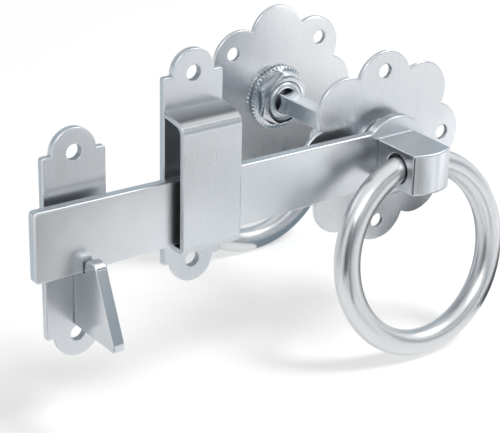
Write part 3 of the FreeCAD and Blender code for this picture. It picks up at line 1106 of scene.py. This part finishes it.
# Each flag's name, place along X, span along Y, rise along Z and brightness.
FLAGS = (
    ("near flag", -0.025, (-0.0195, -0.0112), (-0.0045, 0.012), 0.01),
    ("hub flag", -0.046, (-0.081, -0.050), (-0.056, 0.012), 0.02),
    ("ring flag", -0.056, (-0.060, -0.038), (-0.037, 0.008), 0.03),
    ("spindle flag", -0.034, (0.012, 0.060), (-0.060, 0.004), 0.30),
    ("spindle light", 0.036, (0.058, 0.015), (0.026, 0.050), 2.00),
)
# Each lying card's name, corners along X and Y, and brightness.
LYING_CARDS = (
    ("left card", ((-0.160, -0.086), (-0.128, -0.086), (0.020, -0.280), (-0.046, -0.280)), 0.010),
    ("hook card", ((-0.310, -0.062), (-0.176, -0.062), (-0.176, -0.126), (-0.310, -0.126)), 0.03),
    ("front card", ((-0.044, -0.178), (0.024, -0.169), (0.034, -0.240), (-0.020, -0.240)), 0.01),
    ("light strip", ((-0.045, -0.112), (0.008, -0.112), (0.008, -0.165), (-0.045, -0.165)), 1.62),
    ("low card", ((-0.052, -0.078), (0.000, -0.078), (0.000, -0.111), (-0.052, -0.111)), 0.62),
    ("bar card", ((0.030, -0.120), (0.072, -0.120), (0.072, -0.190), (0.030, -0.190)), 0.52),
    ("rose card", ((0.036, 0.014), (0.14, 0.014), (0.15, -0.088), (0.064, -0.112)), 0.05),
    ("hub strip", ((0.080, -0.140), (0.126, -0.140), (0.126, -0.205), (0.080, -0.205)), 1.75),
    ("rose strip", ((0.127, -0.094), (0.26, -0.094), (0.26, -0.146), (0.127, -0.146)), 1.80),
    ("top card", ((0.128, -0.152), (0.19, -0.152), (0.19, -0.240), (0.128, -0.240)), 0.72),
    ("side card", ((-0.50, 0.080), (-0.12, 0.080), (-0.12, 0.400), (-0.50, 0.400)), 0.72),
    ("back card", ((0.00, 0.030), (0.16, 0.030), (0.16, 0.160), (0.00, 0.160)), 0.36),
)
# Each standing card's name, compass angles, angles above the horizon and brightness.
STANDING_CARDS = (
    ("low band", (-160.0, -20.0), (1.0, 11.0), 0.62),
    ("slope band", (-160.0, -20.0), (11.0, 18.0), 0.27),
    ("eye band", (-105.0, -20.0), (18.0, 31.0), 1.05),
    ("roof band", (-105.0, -45.0), (31.0, 43.0), 0.03),
    ("bright band", (-43.0, 14.0), (39.0, 66.0), 3.30),
    ("left band", (-150.0, -112.0), (30.0, 56.0), 3.30),
    ("far band", (15.0, 150.0), (5.0, 45.0), 0.62),
)


@dataclass
class Studio:
    """A white floor, one soft lamp, cards and small flags for the metal to reflect, and the camera."""

    camera_place: tuple[float, float, float] = (-0.4024, -0.4666, 0.2423)
    camera_yaw: float = 36.11
    camera_pitch: float = 24.07
    camera_roll: float = -1.34
    focal_pixels: float = 1662.9
    sensor_width: float = 36.0
    floor_half: float = 6.0
    floor_glow: float = 0.50
    floor_colour: float = 0.60
    world_strength: float = 0.45
    card_tint: tuple[float, float, float] = (0.56, 0.80, 1.0)
    card_distance: float = 2.2
    card_lift: float = 0.001
    card_columns: int = 24
    card_rows: int = 8
    near_clip: float = 0.01

    def camera(self) -> None:
        """Sets the camera as fitted to the photograph: yaw, pitch, then roll about its line of sight."""
        yaw, pitch, roll = np.radians([self.camera_yaw, self.camera_pitch, self.camera_roll])
        forward = np.array([np.sin(yaw) * np.cos(pitch), np.cos(yaw) * np.cos(pitch), -np.sin(pitch)])
        right = np.array([np.cos(yaw), -np.sin(yaw), 0.0])
        down = np.cross(forward, right)
        right, down = (np.cos(roll) * right + np.sin(roll) * down, np.cos(roll) * down - np.sin(roll) * right)
        axes = np.eye(4)
        axes[:3, :3] = np.column_stack([right, -down, -forward])
        axes[:3, 3] = self.camera_place
        lens = bpy.data.cameras.new("camera")
        lens.sensor_fit = "HORIZONTAL"
        lens.sensor_width = self.sensor_width
        lens.lens = self.focal_pixels * self.sensor_width / IMAGE_WIDTH
        lens.clip_start = self.near_clip
        view = bpy.data.objects.new("camera", lens)
        view.matrix_world = Matrix(axes.tolist())
        bpy.context.scene.collection.objects.link(view)
        bpy.context.scene.camera = view

    def floor(self) -> None:
        """Lays a white floor under the latch; part of its white is its own glow, so shadows stay pale."""
        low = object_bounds()[0][2]
        half = self.floor_half
        mesh = bpy.data.meshes.new("floor")
        mesh.from_pydata([(-half, -half, low), (half, -half, low), (half, half, low), (-half, half, low)], [],
                         [(0, 1, 2, 3)])
        floor = bpy.data.objects.new("floor", mesh)
        bpy.context.scene.collection.objects.link(floor)
        material = bpy.data.materials.new("white floor")
        material.use_nodes = True
        nodes, links = material.node_tree.nodes, material.node_tree.links
        nodes.clear()
        paint = nodes.new("ShaderNodeBsdfDiffuse")
        paint.inputs["Color"].default_value = (self.floor_colour, self.floor_colour, self.floor_colour, 1.0)
        glow = nodes.new("ShaderNodeEmission")
        glow.inputs["Strength"].default_value = self.floor_glow
        both = nodes.new("ShaderNodeAddShader")
        out = nodes.new("ShaderNodeOutputMaterial")
        links.new(paint.outputs["BSDF"], both.inputs[0])
        links.new(glow.outputs["Emission"], both.inputs[1])
        links.new(both.outputs["Shader"], out.inputs["Surface"])
        mesh.materials.append(material)
        floor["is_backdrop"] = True

    def world(self) -> None:
        """Lights the scene evenly; the camera and the metal see the same white room."""
        world = bpy.data.worlds.new("white room")
        world.use_nodes = True
        nodes, links = world.node_tree.nodes, world.node_tree.links
        back = nodes["Background"]
        path = nodes.new("ShaderNodeLightPath")
        seen = nodes.new("ShaderNodeMath")
        seen.operation = "ADD"
        links.new(path.outputs["Is Camera Ray"], seen.inputs[0])
        links.new(path.outputs["Is Glossy Ray"], seen.inputs[1])
        through = nodes.new("ShaderNodeMath")
        through.operation = "ADD"
        through.use_clamp = True
        links.new(seen.outputs["Value"], through.inputs[0])
        links.new(path.outputs["Is Transmission Ray"], through.inputs[1])
        level = nodes.new("ShaderNodeMapRange")
        level.inputs["To Min"].default_value = self.world_strength
        level.inputs["To Max"].default_value = 1.0
        links.new(through.outputs["Value"], level.inputs["Value"])
        links.new(level.outputs["Result"], back.inputs["Strength"])
        back.inputs["Color"].default_value = (1.0, 1.0, 1.0, 1.0)
        bpy.context.scene.world = world

    def lamp(self, name: str, place: tuple[float, float, float], size: float, power: float) -> None:
        """Hangs a square soft lamp that faces the spindle and that the metal doesn't mirror.

        Args:
            name: the lamp's name.
            place: where it hangs.
            size: its side.
            power: its power in watts.
        """
        light = bpy.data.lights.new(name, "AREA")
        light.size = size
        light.energy = power
        lamp = bpy.data.objects.new(name, light)
        away = np.array(place) / np.linalg.norm(place)
        side = np.cross((0.0, 0.0, 1.0), away)
        side = side / np.linalg.norm(side)
        axes = np.eye(4)
        axes[:3, :3] = np.column_stack([side, np.cross(away, side), away])
        axes[:3, 3] = place
        lamp.matrix_world = Matrix(axes.tolist())
        lamp.visible_glossy = False
        bpy.context.scene.collection.objects.link(lamp)

    def card(self, name: str, points: np.ndarray, grey: float, one_sided: bool = False) -> None:
        """Sets up a card that only the metal's reflections see, the bluer the darker it is.

        Args:
            name: the card's name.
            points: a grid of points, as rows by columns by three.
            grey: its brightness.
            one_sided: whether it is clear when seen from behind.
        """
        index = np.arange(points[..., 0].size).reshape(points.shape[:2])
        quads = np.stack([index[:-1, :-1], index[:-1, 1:], index[1:, 1:], index[1:, :-1]], axis=-1)
        mesh = bpy.data.meshes.new(name)
        mesh.from_pydata(points.reshape(-1, 3).tolist(), [], quads.reshape(-1, 4).tolist())
        card = bpy.data.objects.new(name, mesh)
        bpy.context.scene.collection.objects.link(card)
        material = bpy.data.materials.new(name)
        material.use_nodes = True
        nodes, links = material.node_tree.nodes, material.node_tree.links
        nodes.clear()
        glow = nodes.new("ShaderNodeEmission")
        tint = np.power(self.card_tint, max(1.0 - grey, 0.0))
        glow.inputs["Color"].default_value = (*tint, 1.0)
        glow.inputs["Strength"].default_value = grey
        out = nodes.new("ShaderNodeOutputMaterial")
        face = glow.outputs["Emission"]
        if one_sided:
            sides = nodes.new("ShaderNodeMixShader")
            links.new(nodes.new("ShaderNodeNewGeometry").outputs["Backfacing"], sides.inputs["Fac"])
            links.new(face, sides.inputs[1])
            links.new(nodes.new("ShaderNodeBsdfTransparent").outputs["BSDF"], sides.inputs[2])
            face = sides.outputs["Shader"]
        links.new(face, out.inputs["Surface"])
        mesh.materials.append(material)
        card.visible_camera = False
        card.visible_diffuse = False
        card.visible_shadow = False
        card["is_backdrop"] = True

    def standing_card(self, name: str, turn: tuple[float, float], rise: tuple[float, float],
                      grey: float) -> None:
        """Stands a card on part of a ball round the latch, between two compass angles and two heights.

        Args:
            name: the card's name.
            turn: its first and last compass angles in degrees, from +X towards +Y.
            rise: its lowest and highest angles above the horizon in degrees.
            grey: its brightness.
        """
        around = np.radians(np.linspace(*turn, self.card_columns))[None, :]
        up = np.radians(np.linspace(*rise, self.card_rows))[:, None]
        points = np.stack([np.cos(up) * np.cos(around), np.cos(up) * np.sin(around),
                           np.sin(up) + 0.0 * around], axis=-1)
        self.card(name, self.card_distance * points, grey)

    def lying_card(self, name: str, corners: tuple[tuple[float, float], ...], grey: float) -> None:
        """Lays a four-sided card just above the floor.

        Args:
            name: the card's name.
            corners: its four corners in order, along X and Y.
            grey: its brightness.
        """
        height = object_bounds()[0][2] + self.card_lift
        first, second, third, fourth = ((*corner, height) for corner in corners)
        self.card(name, np.array([[first, second], [fourth, third]]), grey)

    def flag(self, name: str, across: float, span: tuple[float, float], rise: tuple[float, float],
             grey: float) -> None:
        """Stands a small upright flag, clear from behind; it faces +X, or -X where its span runs backwards.

        Args:
            name: the flag's name.
            across: its place along X.
            span: its first and last places along Y.
            rise: its lowest and highest places along Z.
            grey: its brightness.
        """
        points = np.array([[(across, place, height) for place in span] for height in rise])
        self.card(name, points, grey, one_sided=True)

    def set_up(self) -> None:
        """Builds the whole studio."""
        self.camera()
        self.floor()
        self.world()
        self.lamp("key", place=(0.83, -0.99, 1.95), size=0.72, power=32.0)
        for flag in FLAGS:
            self.flag(*flag)
        for card in LYING_CARDS:
            self.lying_card(*card)
        for card in STANDING_CARDS:
            self.standing_card(*card)
        bpy.context.scene.view_settings.view_transform = "Standard"


def main() -> None:
    """Builds the latch's pieces from the gate outwards, then the studio round them."""
    logging.basicConfig(level=logging.INFO, format="%(name)s: %(message)s")
    workshop = Workshop()
    bar_front, bar_back = (corner[1] for corner in corner_box("latch_bar"))
    back_seat = corner_box("back_rose")[1][1] + BACK_HUB_GAP
    pieces = [
        ScallopedRose("front_rose", 0.0),
        ScallopedRose("back_rose", 45.0),
        ScrewPlate("guide_plate"),
        ScrewPlate("catch_plate"),
        GuideStrap(),
        CatchHook(),
        LatchBar(),
        RingHub("front_hub", -1.0, bar_front, "front_ring_swing", bar_back - bar_front),
        RingHub("back_hub", 1.0, back_seat, "back_ring_swing", 0.0),
        FlangeNut("front_nut", 1.0),
        FlangeNut("back_nut", -1.0),
        SquareSpindle(),
        BarSpacer(),
        RingHandle("front_ring", "front_handle"),
        RingHandle("back_ring", "back_handle"),
    ]
    for piece in pieces:
        piece.dress(workshop)
    Studio().set_up()


if __name__ == "__main__":
    main()
